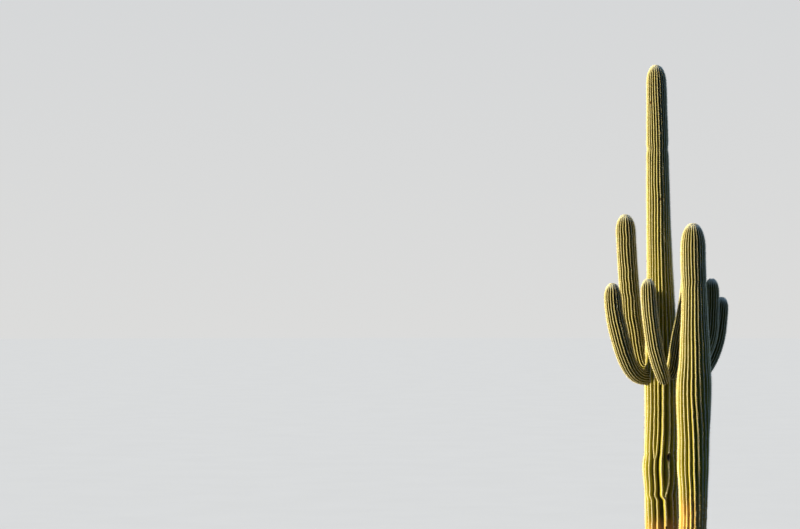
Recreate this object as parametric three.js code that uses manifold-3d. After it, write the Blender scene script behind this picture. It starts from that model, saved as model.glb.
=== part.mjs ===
// A many-armed saguaro cactus. Millimetres, +Z up, origin at the middle of the main stem's flat cut at the
// ground. +X is to the right of the side that shows best, and +Y runs away from it.
import * as THREE from 'three';
import { mergeVertices } from 'three/addons/utils/BufferGeometryUtils.js';
import Module from 'manifold-3d';

const wasm = await Module();
wasm.setup();

const UP = new THREE.Vector3(0, 0, 1);
const FRONT = new THREE.Vector3(0, -1, 0);

// Driving dimensions

const GAP = 0.3; // between two pieces that meet
const GROWN = 0.7; // how far a piece is grown along its radius to cut that gap, steeper on the rib sides
const GROOVE_DEPTH = 0.15; // of the limb's radius, from rib crest to groove
const DOME_LENGTH = 1.9; // of the limb's radius: the tips are long, blunt domes
const DOME_TURNS = [0.4, 0.74]; // rings round a dome, as parts of its quarter turn
const DOME_POWER = 0.84; // of the cosine that narrows a dome: under 1 is blunter than an ellipse
const ROOT_SINK = 90; // an arm starts this far inside the stem, before it is cut to the stem's skin
const RING_CLEARANCE = 60; // between a ring at a swelling and the even steps
const ELBOW_STEPS = 5;
const UPRIGHT_STEPS = 4;

// A stem is given by stations up its height: where its axis stands and how wide it is over the rib crests.
const MAIN_STEM = {
  name: 'main_stem',
  ribs: 20,
  stations: [
    { z: 0, x: 0, y: 0, radius: 284 }, // the root flare, where the flat cut is
    { z: 130, x: 0, y: 0, radius: 258 },
    { z: 420, x: 0, y: 0, radius: 240 },
    { z: 1080, x: -5, y: 0, radius: 236 },
    { z: 1570, x: -16, y: 0, radius: 236 }, // a fat year's growth leans out here
    { z: 1900, x: -6, y: 0, radius: 235 },
    { z: 2450, x: -6, y: 0, radius: 234 },
    { z: 2800, x: -8, y: 0, radius: 238 }, // widest where the arms leave it
    { z: 3640, x: -14, y: 0, radius: 203 },
    { z: 4210, x: -26, y: 0, radius: 182 },
    { z: 5150, x: -50, y: 5, radius: 165 },
    { z: 6700, x: -71, y: 12, radius: 142 },
    { z: 7180, x: -80, y: 15, radius: 128 },
  ],
  // Swellings and pinches that dry and wet years left, as a part of the radius
  rings: [
    { z: 1550, size: 0.085, spread: 200 },
    { z: 1740, size: -0.045, spread: 50 },
    { z: 6010, size: -0.075, spread: 55 },
  ],
  steps: 17,
};

const RIGHT_STEM = {
  name: 'right_stem',
  ribs: 24,
  stations: [
    { z: 0, x: 312, y: -398, radius: 236 }, // leaves the shared root and leans out from it
    { z: 170, x: 332, y: -432, radius: 206 },
    { z: 430, x: 378, y: -510, radius: 192 },
    { z: 760, x: 418, y: -578, radius: 186 },
    { z: 1250, x: 427, y: -602, radius: 198 },
    { z: 1600, x: 424, y: -602, radius: 217 },
    { z: 2000, x: 431, y: -600, radius: 218 },
    { z: 2650, x: 436, y: -598, radius: 235 }, // the widest place
    { z: 3140, x: 448, y: -600, radius: 208 },
    { z: 3900, x: 444, y: -602, radius: 173 },
    { z: 4450, x: 429, y: -600, radius: 169 },
    { z: 4945, x: 425, y: -600, radius: 160 },
  ],
  rings: [{ z: 4105, size: -0.035, spread: 45 }],
  steps: 14,
};

// An arm leaves the main stem at a height, in a direction turned from the front towards +X. Its elbow
// runs out by out_pull, sweeps round to the foot of its upright and meets it along the rise. The upright
// then runs to the tip. A pull is how far a curve keeps its end's direction.
const ARMS = [
  {
    name: 'left_outer_arm',
    ribs: 16,
    root: { bearing: -70, z: 2815, radius: 104 },
    foot: { x: -605, y: -365, z: 3460, radius: 127 },
    rise: { x: -0.27, y: 0.03, z: 1 },
    tip: { x: -683.5, y: -340, z: 4122, radius: 112 },
    tip_rise: { x: 0.02, y: 0, z: 1 },
    out_pull: 220,
    rise_pull: 380,
    tip_pull: 230,
  },
  {
    name: 'left_tall_arm',
    ribs: 18,
    root: { bearing: -104, z: 2935, radius: 108 },
    foot: { x: -408, y: 105, z: 3590, radius: 139 },
    rise: { x: -0.18, y: 0, z: 1 },
    tip: { x: -514.5, y: 115, z: 5090, radius: 136 },
    tip_rise: { x: -0.02, y: 0, z: 1 },
    out_pull: 95,
    rise_pull: 330,
    tip_pull: 260,
  },
  {
    name: 'front_arm',
    ribs: 16,
    root: { bearing: 6, z: 2800, radius: 82 },
    foot: { x: -121.5, y: -550, z: 3353, radius: 109.5 },
    rise: { x: -0.15, y: 0.12, z: 1 },
    tip: { x: -189, y: -440, z: 4186, radius: 102.5 },
    tip_rise: { x: 0.03, y: 0.02, z: 1 },
    out_pull: 260,
    rise_pull: 340,
    tip_pull: 280,
  },
  {
    name: 'middle_right_arm',
    ribs: 17,
    root: { bearing: 32, z: 2885, radius: 102 },
    foot: { x: 261.5, y: -330, z: 3430, radius: 116 },
    rise: { x: 0.22, y: 0.3, z: 1 },
    tip: { x: 394, y: -90, z: 4650, radius: 106 },
    tip_rise: { x: 0, y: 0, z: 1 },
    out_pull: 130,
    rise_pull: 260,
    tip_pull: 470,
  },
  {
    name: 'right_inner_arm',
    ribs: 16,
    root: { bearing: 98, z: 2945, radius: 96 },
    foot: { x: 676, y: 258, z: 3480, radius: 110 },
    rise: { x: 0.1, y: 0.05, z: 1 },
    tip: { x: 695, y: 270, z: 4189, radius: 100 },
    tip_rise: { x: 0, y: 0, z: 1 },
    out_pull: 300,
    rise_pull: 310,
    tip_pull: 230,
  },
  {
    name: 'right_outer_arm',
    ribs: 15,
    root: { bearing: 136, z: 2675, radius: 98 },
    foot: { x: 782, y: 486, z: 3390, radius: 110 },
    rise: { x: 0.21, y: 0.03, z: 1 },
    tip: { x: 852, y: 495, z: 3928, radius: 92 },
    tip_rise: { x: 0.15, y: 0, z: 1 },
    out_pull: 500,
    rise_pull: 400,
    tip_pull: 170,
  },
];

const GREEN_SKIN = { color: 0x77802f, roughness: 0.6, metalness: 0 };
const YOUNG_SKIN = { color: 0x848236, roughness: 0.65, metalness: 0 };

// Centrelines

// A smooth curve through the values at the knots. Its slope at each knot comes from the two beside it.
function smoothThrough(knots, values) {
  const last = knots.length - 1;
  const slopes = knots.map((_, i) => {
    const before = Math.max(i - 1, 0);
    const after = Math.min(i + 1, last);
    return (values[after] - values[before]) / (knots[after] - knots[before]);
  });
  return (at) => {
    let i = 0;
    while (i < last - 1 && at > knots[i + 1]) i += 1;
    const span = knots[i + 1] - knots[i];
    const t = (at - knots[i]) / span;
    const ease = t * t * (3 - 2 * t);
    const bend = slopes[i] * t * (1 - t) * (1 - t) - slopes[i + 1] * t * t * (1 - t);
    return values[i] + (values[i + 1] - values[i]) * ease + span * bend;
  };
}

// One ring of a limb: its middle, its radius over the crests and the direction of growth there
function ring(middle, radius, along) {
  return { middle, radius, along: along.clone().normalize() };
}

// How much narrower the limb is at a part of its dome's quarter turn, from 0 at the foot to 1 at the tip
function domeWidth(turn) {
  return Math.cos((turn * Math.PI) / 2) ** DOME_POWER;
}

function domeRise(turn) {
  return Math.sin((turn * Math.PI) / 2);
}

function stemRings(stem) {
  const heights = stem.stations.map((station) => station.z);
  const axisX = smoothThrough(heights, stem.stations.map((station) => station.x));
  const axisY = smoothThrough(heights, stem.stations.map((station) => station.y));
  const width = smoothThrough(heights, stem.stations.map((station) => station.radius));
  const tip = heights[heights.length - 1];
  const domeLength = DOME_LENGTH * stem.stations[heights.length - 1].radius;
  const domeFoot = tip - domeLength;

  const radiusAt = (z) => {
    const bump = ({ z: middle, size, spread }) => size * Math.exp(-(((z - middle) / spread) ** 2));
    return width(z) * stem.rings.reduce((part, swelling) => part + bump(swelling), 1);
  };
  // Each ring lies level, so that the cut at the ground is flat. The stems lean little.
  const levelRing = (z, narrowed) => {
    const middle = new THREE.Vector3(axisX(z), axisY(z), z);
    return ring(middle, radiusAt(z) * narrowed, UP);
  };

  const lower = spacedHeights(stem, domeFoot).map((z) => levelRing(z, 1));
  const dome = DOME_TURNS.map((turn) => levelRing(domeFoot + domeLength * domeRise(turn), domeWidth(turn)));
  return { rings: [...lower, ...dome], tip: new THREE.Vector3(axisX(tip), axisY(tip), tip) };
}

// Even steps up the stem, and a ring at each swelling and pinch, so that its full size is there
function spacedHeights(stem, domeFoot) {
  const even = Array.from({ length: stem.steps + 1 }, (_, i) => (domeFoot * i) / stem.steps);
  const swollen = stem.rings.map(({ z }) => z);
  const clear = (height) => swollen.every((z) => Math.abs(height - z) > RING_CLEARANCE);
  return [...even.filter(clear), ...swollen].sort((low, high) => low - high);
}

function vector({ x, y, z }) {
  return new THREE.Vector3(x, y, z);
}

function armCurves(arm, stem) {
  const turn = (arm.root.bearing * Math.PI) / 180;
  const outward = new THREE.Vector3(Math.sin(turn), -Math.cos(turn), 0);
  const heights = stem.stations.map((station) => station.z);
  const axis = new THREE.Vector3(
    smoothThrough(heights, stem.stations.map((station) => station.x))(arm.root.z),
    smoothThrough(heights, stem.stations.map((station) => station.y))(arm.root.z),
    arm.root.z,
  );
  const skin = smoothThrough(heights, stem.stations.map((station) => station.radius))(arm.root.z);
  const leaves = axis.addScaledVector(outward, skin);
  const foot = vector(arm.foot);
  const tip = vector(arm.tip);
  const rise = vector(arm.rise).normalize();
  const tipRise = vector(arm.tip_rise).normalize();
  const elbow = new THREE.CubicBezierCurve3(
    leaves,
    leaves.clone().addScaledVector(outward, arm.out_pull),
    foot.clone().addScaledVector(rise, -arm.rise_pull),
    foot,
  );
  const upright = new THREE.CubicBezierCurve3(
    foot,
    foot.clone().addScaledVector(rise, arm.tip_pull),
    tip.clone().addScaledVector(tipRise, -arm.tip_pull),
    tip,
  );
  return { elbow, upright, outward, leaves };
}

function elbowRings(arm, { elbow, outward, leaves }) {
  const inside = leaves.clone().addScaledVector(outward, -ROOT_SINK);
  const rings = [ring(inside, arm.root.radius, outward)];
  for (let i = 0; i <= ELBOW_STEPS; i += 1) {
    const part = i / ELBOW_STEPS;
    const radius = THREE.MathUtils.lerp(arm.root.radius, arm.foot.radius, Math.sin((part * Math.PI) / 2));
    rings.push(ring(elbow.getPointAt(part), radius, elbow.getTangentAt(part)));
  }
  return rings;
}

function uprightRings(arm, { upright }) {
  const length = upright.getLength();
  const domeLength = DOME_LENGTH * arm.tip.radius;
  const domeFoot = 1 - domeLength / length;
  const ringAt = (part, narrowed) => {
    const radius = THREE.MathUtils.lerp(arm.foot.radius, arm.tip.radius, part) * narrowed;
    return ring(upright.getPointAt(part), radius, upright.getTangentAt(part));
  };
  const rings = [];
  for (let i = 0; i <= UPRIGHT_STEPS; i += 1) {
    rings.push(ringAt((domeFoot * i) / UPRIGHT_STEPS, 1));
  }
  rings[0].middle.addScaledVector(rings[0].along, GAP);
  for (const turn of DOME_TURNS) {
    rings.push(ringAt(domeFoot + (domeLength / length) * domeRise(turn), domeWidth(turn)));
  }
  return rings;
}

// Ribbed skins

// Turns a sideways direction with the limb from ring to ring, so that the ribs run along it without a twist
function carrySideways(rings, sideways) {
  const carried = [];
  let across = sideways.clone();
  for (const { along } of rings) {
    across = across.clone().addScaledVector(along, -across.dot(along)).normalize();
    carried.push(across);
  }
  return carried;
}

// A closed limb: a ribbed tube round the rings, flat at its first ring, and at its last either flat or
// closed to a tip
function ribbedLimb({ rings, ribs, sideways, tip, grown = 0 }) {
  const sides = ribs * 2;
  const carried = carrySideways(rings, sideways);
  const positions = [];
  const faces = [];
  rings.forEach(({ middle, radius, along }, row) => {
    const across = carried[row];
    const other = new THREE.Vector3().crossVectors(along, across);
    for (let side = 0; side < sides; side += 1) {
      const turn = (side / sides) * 2 * Math.PI;
      const reach = (side % 2 === 0 ? radius : radius * (1 - GROOVE_DEPTH)) + grown;
      const point = middle.clone();
      point.addScaledVector(across, Math.cos(turn) * reach).addScaledVector(other, Math.sin(turn) * reach);
      positions.push(point.x, point.y, point.z);
    }
  });
  const first = positions.length / 3;
  const last = first + 1;
  const lastRing = rings[rings.length - 1];
  const end = tip ? tip.clone().addScaledVector(lastRing.along, grown) : lastRing.middle;
  positions.push(...rings[0].middle.toArray(), ...end.toArray());
  for (let side = 0; side < sides; side += 1) {
    const next = (side + 1) % sides;
    faces.push(first, next, side);
    for (let row = 0; row < rings.length - 1; row += 1) {
      const low = row * sides;
      const high = low + sides;
      faces.push(low + side, low + next, high + next, low + side, high + next, high + side);
    }
    const top = (rings.length - 1) * sides;
    faces.push(last, top + side, top + next);
  }
  const geometry = new THREE.BufferGeometry();
  geometry.setAttribute('position', new THREE.Float32BufferAttribute(positions, 3));
  geometry.setIndex(faces);
  return geometry;
}

// Cutting one piece to another

function toSolid(geometry) {
  const merged = mergeVertices(geometry);
  return new wasm.Manifold(
    new wasm.Mesh({
      numProp: 3,
      vertProperties: new Float32Array(merged.attributes.position.array),
      triVerts: new Uint32Array(merged.index.array),
    }),
  );
}

function toGeometry(solid) {
  const mesh = solid.getMesh();
  const geometry = new THREE.BufferGeometry();
  geometry.setAttribute('position', new THREE.Float32BufferAttribute(mesh.vertProperties, 3));
  geometry.setIndex(Array.from(mesh.triVerts));
  return geometry;
}

// The biggest piece that is left of a solid once the others are cut from it
function cutBy(geometry, cutters) {
  const left = cutters.reduce((solid, cutter) => solid.subtract(toSolid(cutter)), toSolid(geometry));
  const pieces = left.decompose();
  return toGeometry(pieces.reduce((best, piece) => (piece.volume() > best.volume() ? piece : best)));
}

// The plant

function limbMesh(name, geometry, finish) {
  const mesh = new THREE.Mesh(geometry, new THREE.MeshStandardMaterial(finish));
  mesh.name = name;
  return mesh;
}

const cactus = new THREE.Group();

const mainShape = { ...stemRings(MAIN_STEM), ribs: MAIN_STEM.ribs, sideways: FRONT };
const grownMainStem = ribbedLimb({ ...mainShape, grown: GROWN });
cactus.add(limbMesh(MAIN_STEM.name, ribbedLimb(mainShape), GREEN_SKIN));

const rightShape = { ...stemRings(RIGHT_STEM), ribs: RIGHT_STEM.ribs, sideways: FRONT };
cactus.add(limbMesh(RIGHT_STEM.name, cutBy(ribbedLimb(rightShape), [grownMainStem]), GREEN_SKIN));

const cutters = [grownMainStem];
for (const arm of ARMS) {
  const curves = armCurves(arm, MAIN_STEM);
  const lower = elbowRings(arm, curves);
  const upper = uprightRings(arm, curves);
  const carried = carrySideways(lower, UP);
  const sideways = carried[carried.length - 1];
  const elbow = { rings: lower, ribs: arm.ribs, sideways: UP };
  const upright = { rings: upper, ribs: arm.ribs, sideways, tip: vector(arm.tip) };
  cactus.add(limbMesh(`${arm.name}_elbow`, cutBy(ribbedLimb(elbow), cutters), GREEN_SKIN));
  cactus.add(limbMesh(`${arm.name}_upright`, ribbedLimb(upright), YOUNG_SKIN));
  cutters.push(ribbedLimb({ ...elbow, grown: GROWN }));
}

export default cactus;
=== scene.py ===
# %% [markdown]
# # A saguaro cactus, rib by rib
# This lesson dresses a imported model of a many-armed saguaro. The plain ribbed solids of the frame give
# each limb its place. Here every limb gets a skin with real ribs, and then the cushions of spines that
# grow in rows along the rib crests, as they do on the plant.
#
# We start with the frame.

# %% Load the frame
import math

import bmesh
import bpy
import numpy as np
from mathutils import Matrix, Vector


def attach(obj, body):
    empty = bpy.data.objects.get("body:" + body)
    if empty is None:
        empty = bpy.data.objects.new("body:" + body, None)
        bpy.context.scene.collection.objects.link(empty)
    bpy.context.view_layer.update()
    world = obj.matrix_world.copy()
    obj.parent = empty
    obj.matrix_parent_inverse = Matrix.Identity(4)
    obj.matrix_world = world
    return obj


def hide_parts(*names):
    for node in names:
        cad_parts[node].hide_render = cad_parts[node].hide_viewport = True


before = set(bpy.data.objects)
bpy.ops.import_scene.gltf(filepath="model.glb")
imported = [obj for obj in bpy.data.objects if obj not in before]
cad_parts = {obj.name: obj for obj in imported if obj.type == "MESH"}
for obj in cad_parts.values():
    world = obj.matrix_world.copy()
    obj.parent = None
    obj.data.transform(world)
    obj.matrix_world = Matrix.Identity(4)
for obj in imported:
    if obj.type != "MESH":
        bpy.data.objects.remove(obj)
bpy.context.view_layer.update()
print("nodes in the frame:", sorted(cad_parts))

# %% [markdown]
# ## Where the picture is taken from
# The picture was taken from far off, with a long lens. The plant stands at the right, and the lower edge
# cuts it off above the ground. We could crop or shift the lens to get that. Turning the camera is closer
# to what happened, and it keeps the picture free of shift.

# %% Camera
PICTURE_WIDTH = 800
SENSOR = 36.0  # millimetres
LENS = 120.0  # millimetres
EYE_HEIGHT = 4.06
EYE_DISTANCE = 37.5
STEM_PIXEL_X = 662  # where the main stem's foot stands in the picture
HORIZON_PIXEL_Y = 288
MIDDLE_PIXEL = (400, 264.5)

focal_pixels = LENS / SENSOR * PICTURE_WIDTH
turned_left = math.atan((STEM_PIXEL_X - MIDDLE_PIXEL[0]) / focal_pixels)
tilted_up = math.atan((HORIZON_PIXEL_Y - MIDDLE_PIXEL[1]) / focal_pixels)

scene = bpy.context.scene
camera = bpy.data.objects.new("camera", bpy.data.cameras.new("camera"))
camera.data.lens = LENS
camera.data.sensor_width = SENSOR
camera.data.clip_end = 2000
camera.location = (0, -EYE_DISTANCE, EYE_HEIGHT)
camera.rotation_euler = (math.pi / 2 + tilted_up, 0, turned_left)
scene.collection.objects.link(camera)
scene.camera = camera
print("camera turned left by", round(math.degrees(turned_left), 2), "degrees")

# %% [markdown]
# ## Light
# A low, warm light stands far to the left and only a little towards the camera, so each rib has a bright
# side and a dark side. A point lamp would make the shadows fan out, so a sun lamp is used, whose light
# runs parallel. Its disc is two degrees wide, which softens the edge of each shadow. A dim, blue
# surround fills the dark sides only a little, because the contrast between the two sides is what draws
# the ribs. A weaker, wide and bluish light comes from behind at the right. It keeps the shaded side and
# the back readable for a camera that stands there.

# %% Lights and surround
KEY_ENERGY = 11.8
KEY_COLOUR = (1.0, 0.84, 0.38)
KEY_HEIGHT = math.radians(10)
KEY_TRAVEL = math.radians(14)  # its light travels to the right, turned this much away from the camera
KEY_DISC = math.radians(2)
BACK_ENERGY = 2.3
BACK_COLOUR = (0.55, 0.80, 1.0)
BACK_HEIGHT = math.radians(32)
BACK_TRAVEL = math.radians(-142)  # from behind at the right
BACK_DISC = math.radians(40)
SURROUND_STRENGTH = 0.13
SURROUND_COLOUR = (0.33, 0.60, 1.0, 1)


def add_lamp(name, energy, colour, disc, turned, height):
    """A parallel light, which stands at a height and travels turned away from the right."""
    lamp = bpy.data.objects.new(name, bpy.data.lights.new(name, "SUN"))
    lamp.data.energy = energy
    lamp.data.color = colour
    lamp.data.angle = disc
    level = math.cos(height)
    travel = Vector((math.cos(turned) * level, math.sin(turned) * level, -math.sin(height)))
    lamp.rotation_euler = travel.to_track_quat("-Z", "Y").to_euler()
    scene.collection.objects.link(lamp)
    print(name, "travels", [round(part, 2) for part in travel])
    return lamp


key_light = add_lamp("key_light", KEY_ENERGY, KEY_COLOUR, KEY_DISC, KEY_TRAVEL, KEY_HEIGHT)
back_light = add_lamp("back_light", BACK_ENERGY, BACK_COLOUR, BACK_DISC, BACK_TRAVEL, BACK_HEIGHT)
surround = bpy.data.worlds.new("surround")
surround.use_nodes = True
surround.node_tree.nodes["Background"].inputs["Color"].default_value = SURROUND_COLOUR
surround.node_tree.nodes["Background"].inputs["Strength"].default_value = SURROUND_STRENGTH
scene.world = surround
scene.view_settings.view_transform = "Standard"

# %% [markdown]
# ## Helpers for nodes
# A finish is a small graph of nodes. Written out in full, each graph takes a page, so two helpers keep
# them short: one adds a node and sets its values, the other turns a colour as painters mix it on a
# screen into the linear numbers that the renderer works with.


# %% Node helpers
def linear(red, green, blue):
    """A screen colour, 0 to 255 a channel, as the linear colour that shaders take."""
    shares = [channel / 255 for channel in (red, green, blue)]
    return [s / 12.92 if s <= 0.04045 else ((s + 0.055) / 1.055) ** 2.4 for s in shares] + [1.0]


def add_node(tree, kind, values=(), **settings):
    """Adds a node, sets its properties, and sets or links its inputs from (input, value or socket) pairs."""
    made = tree.nodes.new(kind)
    for name, setting in settings.items():
        setattr(made, name, setting)
    for name, value in values:
        if isinstance(value, bpy.types.NodeSocket):
            tree.links.new(value, made.inputs[name])
        else:
            made.inputs[name].default_value = value
    return made


def new_finish(name):
    """An empty finish, its node tree and its main shader."""
    finish = bpy.data.materials.new(name)
    finish.use_nodes = True
    tree = finish.node_tree
    return finish, tree, tree.nodes["Principled BSDF"]


print("a yellow-green in linear numbers:", [round(part, 3) for part in linear(140, 150, 60)])

# %% [markdown]
# ## The floor
# The floor only carries the shadow. It is one pale sheet with a faint mottle, so that it doesn't look
# cut from paper. A sheet this large would throw back far more light than the surround gives, and flatten
# the ribs, so it is hidden from diffuse and glossy rays: it is seen and takes shadows, but it doesn't
# light the plant.

# %% Floor
FLOOR_REACH = 400.0


def set_stage(name, mesh):
    stage = bpy.data.objects.new(name, mesh)
    stage.visible_diffuse = False
    stage.visible_glossy = False
    scene.collection.objects.link(stage)
    return stage


def make_floor():
    mesh = bpy.data.meshes.new("floor")
    reach = FLOOR_REACH
    corners = [(-reach, -reach, 0), (reach, -reach, 0), (reach, reach, 0), (-reach, reach, 0)]
    mesh.from_pydata(corners, [], [(0, 1, 2, 3)])
    finish, tree, shader = new_finish("pale_floor")
    place = add_node(tree, "ShaderNodeTexCoord").outputs["Object"]
    mottle = add_node(tree, "ShaderNodeTexNoise", [("Vector", place), ("Scale", 0.7), ("Detail", 4.0)])
    tone = add_node(tree, "ShaderNodeValToRGB", [("Fac", mottle.outputs["Fac"])])
    tone.color_ramp.elements[0].color = linear(200, 199, 196)
    tone.color_ramp.elements[1].color = linear(205, 204, 201)
    tree.links.new(tone.outputs["Color"], shader.inputs["Base Color"])
    shader.inputs["Roughness"].default_value = 1.0
    shader.inputs["Specular IOR Level"].default_value = 0.0  # no glare towards a low light
    mesh.materials.append(finish)
    return set_stage("floor", mesh)


floor = make_floor()
print("the floor reaches", FLOOR_REACH, "metres each way")

# %% [markdown]
# ## Lamps for the floor alone
# Under the yellow light the floor would be yellow, with a deep blue shadow. A bluer floor would only hide
# the yellow, so it gets a white pair of lamps of its own. One shines the same way as the key light and
# casts the shadow. The other shines straight down without a shadow and fills it. Light linking keeps each
# pair of lamps to its own.

# %% Floor lamps
FLOOR_KEY_ENERGY = 9.0
FLOOR_FILL_ENERGY = 2.0
FLOOR_DISC = math.radians(4)
WHITE = (1, 1, 1)
OVERHEAD = math.pi / 2


def link_floor(floor, name, lamps, state):
    """The lamps light the floor alone when the state is INCLUDE, and all but the floor on EXCLUDE."""
    receivers = bpy.data.collections.new(name)
    receivers.objects.link(floor)
    receivers.collection_objects[0].light_linking.link_state = state
    for lamp in lamps:
        lamp.light_linking.receiver_collection = receivers


floor_key = add_lamp("floor_key", FLOOR_KEY_ENERGY, WHITE, FLOOR_DISC, KEY_TRAVEL, KEY_HEIGHT)
floor_fill = add_lamp("floor_fill", FLOOR_FILL_ENERGY, WHITE, 0, 0, OVERHEAD)
floor_fill.data.use_shadow = False
link_floor(floor, "floor_alone", [floor_key, floor_fill], "INCLUDE")
link_floor(floor, "all_but_floor", [key_light, back_light], "EXCLUDE")

# %% [markdown]
# ## The backdrop
# Over the floor stands a wide pale dome that glows a little by itself, so that it has the same tone on
# every side. A pale surround would give that tone too, but it would also light the plant and flatten it.
# The dome is hidden from diffuse and glossy rays, as the floor is, and casts no shadow.

# %% Backdrop
BACKDROP_REACH = 180.0


def make_backdrop():
    ball = bmesh.new()
    bmesh.ops.create_icosphere(ball, subdivisions=5, radius=BACKDROP_REACH)
    mesh = bpy.data.meshes.new("backdrop")
    ball.to_mesh(mesh)
    ball.free()
    mesh.polygons.foreach_set("use_smooth", np.full(len(mesh.polygons), True))
    finish, tree, shader = new_finish("pale_backdrop")
    shader.inputs["Base Color"].default_value = (0, 0, 0, 1)
    shader.inputs["Specular IOR Level"].default_value = 0.0
    shader.inputs["Emission Strength"].default_value = 1.0
    height = add_node(tree, "ShaderNodeTexCoord").outputs["Object"]
    height = add_node(tree, "ShaderNodeSeparateXYZ", [("Vector", height)]).outputs["Z"]
    up = add_node(tree, "ShaderNodeMapRange", [("Value", height), ("From Max", BACKDROP_REACH)])
    tone = add_node(tree, "ShaderNodeValToRGB", [("Fac", up.outputs["Result"])])
    tone.color_ramp.elements[0].color = linear(220, 220, 219)
    tone.color_ramp.elements[1].color = linear(178, 190, 204)
    tree.links.new(tone.outputs["Color"], shader.inputs["Emission Color"])
    mesh.materials.append(finish)
    finish.cycles.emission_sampling = "NONE"
    set_stage("backdrop", mesh).visible_shadow = False


make_backdrop()
print("the backdrop stands", BACKDROP_REACH, "metres off")

# %% [markdown]
# ## The stems' sizes
# Each stem is measured at a few stations up its height: where its axis stands and how wide it is over
# the crests of its ribs. Between stations a smooth curve is drawn. Good and bad years of rain leave
# swellings and pinches, which are added as small bumps on that curve.
#
# The two stems come from one root. The right one leaves it leaning out, and then stands upright.

# %% Stems
# Height, axis x, axis y and radius over the crests, in metres
MAIN_STATIONS = [
    (0.00, 0.000, 0.000, 0.284),
    (0.13, 0.000, 0.000, 0.258),
    (0.42, 0.000, 0.000, 0.240),
    (1.08, -0.005, 0.000, 0.236),
    (1.57, -0.016, 0.000, 0.236),
    (1.90, -0.006, 0.000, 0.235),
    (2.45, -0.006, 0.000, 0.234),
    (2.80, -0.008, 0.000, 0.238),
    (3.64, -0.014, 0.000, 0.203),
    (4.21, -0.026, 0.000, 0.182),
    (5.15, -0.050, 0.005, 0.165),
    (6.70, -0.071, 0.012, 0.142),
    (7.18, -0.080, 0.015, 0.128),
]
RIGHT_STATIONS = [
    (0.00, 0.312, -0.398, 0.236),
    (0.17, 0.332, -0.432, 0.206),
    (0.43, 0.378, -0.510, 0.192),
    (0.76, 0.418, -0.578, 0.186),
    (1.25, 0.427, -0.602, 0.198),
    (1.60, 0.424, -0.602, 0.217),
    (2.00, 0.431, -0.600, 0.218),
    (2.65, 0.436, -0.598, 0.235),
    (3.14, 0.448, -0.600, 0.208),
    (3.90, 0.444, -0.602, 0.173),
    (4.45, 0.429, -0.600, 0.169),
    (4.945, 0.425, -0.600, 0.160),
]
# Height, size as a part of the radius, and spread
MAIN_YEARS = [(1.55, 0.085, 0.20), (1.74, -0.045, 0.05), (6.01, -0.075, 0.055)]
RIGHT_YEARS = [(4.105, -0.035, 0.045)]
print("main stem", MAIN_STATIONS[-1][0], "m tall, right stem", RIGHT_STATIONS[-1][0], "m tall")

# %% [markdown]
# ## The arms' sizes
# An arm leaves the main stem level, sweeps round under its own weight and then grows straight up. Two
# Bezier curves draw that: an elbow from the stem to the foot of the upright, and the upright to the tip.
# The same few sizes set each arm, so six arms are six short entries and not six hand-drawn paths.

# %% Arms
# Each arm's root is a bearing from the front towards the right in degrees, a height and a radius.
# A foot or tip is a place and a radius. A rise is a direction of growth. Pulls hold the curves' ends.
ARMS = {
    "left_outer_arm": {
        "root": (-70, 2.815, 0.104), "foot": (-0.605, -0.365, 3.46, 0.127), "rise": (-0.27, 0.03, 1),
        "tip": (-0.6835, -0.340, 4.122, 0.112), "tip_rise": (0.02, 0, 1), "pulls": (0.22, 0.38, 0.23),
    },
    "left_tall_arm": {
        "root": (-104, 2.935, 0.108), "foot": (-0.408, 0.105, 3.59, 0.139), "rise": (-0.18, 0, 1),
        "tip": (-0.5145, 0.115, 5.09, 0.136), "tip_rise": (-0.02, 0, 1), "pulls": (0.095, 0.33, 0.26),
    },
    "front_arm": {
        "root": (6, 2.800, 0.082), "foot": (-0.1215, -0.550, 3.353, 0.1095), "rise": (-0.15, 0.12, 1),
        "tip": (-0.189, -0.440, 4.186, 0.1025), "tip_rise": (0.03, 0.02, 1), "pulls": (0.26, 0.34, 0.28),
    },
    "middle_right_arm": {
        "root": (32, 2.885, 0.102), "foot": (0.2615, -0.330, 3.43, 0.116), "rise": (0.22, 0.3, 1),
        "tip": (0.394, -0.090, 4.65, 0.106), "tip_rise": (0, 0, 1), "pulls": (0.13, 0.26, 0.47),
    },
    "right_inner_arm": {
        "root": (98, 2.945, 0.096), "foot": (0.676, 0.258, 3.48, 0.110), "rise": (0.1, 0.05, 1),
        "tip": (0.695, 0.270, 4.189, 0.100), "tip_rise": (0, 0, 1), "pulls": (0.30, 0.31, 0.23),
    },
    "right_outer_arm": {
        "root": (136, 2.675, 0.098), "foot": (0.782, 0.486, 3.39, 0.110), "rise": (0.21, 0.03, 1),
        "tip": (0.852, 0.495, 3.928, 0.092), "tip_rise": (0.15, 0, 1), "pulls": (0.50, 0.40, 0.17),
    },
}
print(len(ARMS), "arms")

# %% [markdown]
# ## Curves that pass through sizes, and curves that wander
# Two kinds of curve are used again and again. The first passes smoothly through measured values. The
# second wanders: it passes through random values at even distances, drawn from a seeded generator, so
# that the plant is uneven in the same way each time.


# %% Smooth and wandering curves
def smooth_through(knots, values):
    """A smooth curve through the values at the knots, its slope at each taken from the two beside it."""
    knots, values = np.asarray(knots, float), np.asarray(values, float)
    last = len(knots) - 1
    before = np.clip(np.arange(last + 1) - 1, 0, last)
    after = np.clip(np.arange(last + 1) + 1, 0, last)
    slopes = (values[after] - values[before]) / (knots[after] - knots[before])

    def value_at(place):
        i = np.clip(np.searchsorted(knots, place, side="right") - 1, 0, last - 1)
        span = knots[i + 1] - knots[i]
        t = (place - knots[i]) / span
        ease = t * t * (3 - 2 * t)
        bend = slopes[i] * t * (1 - t) ** 2 - slopes[i + 1] * t * t * (1 - t)
        return values[i] + (values[i + 1] - values[i]) * ease + span * bend

    return value_at


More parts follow.
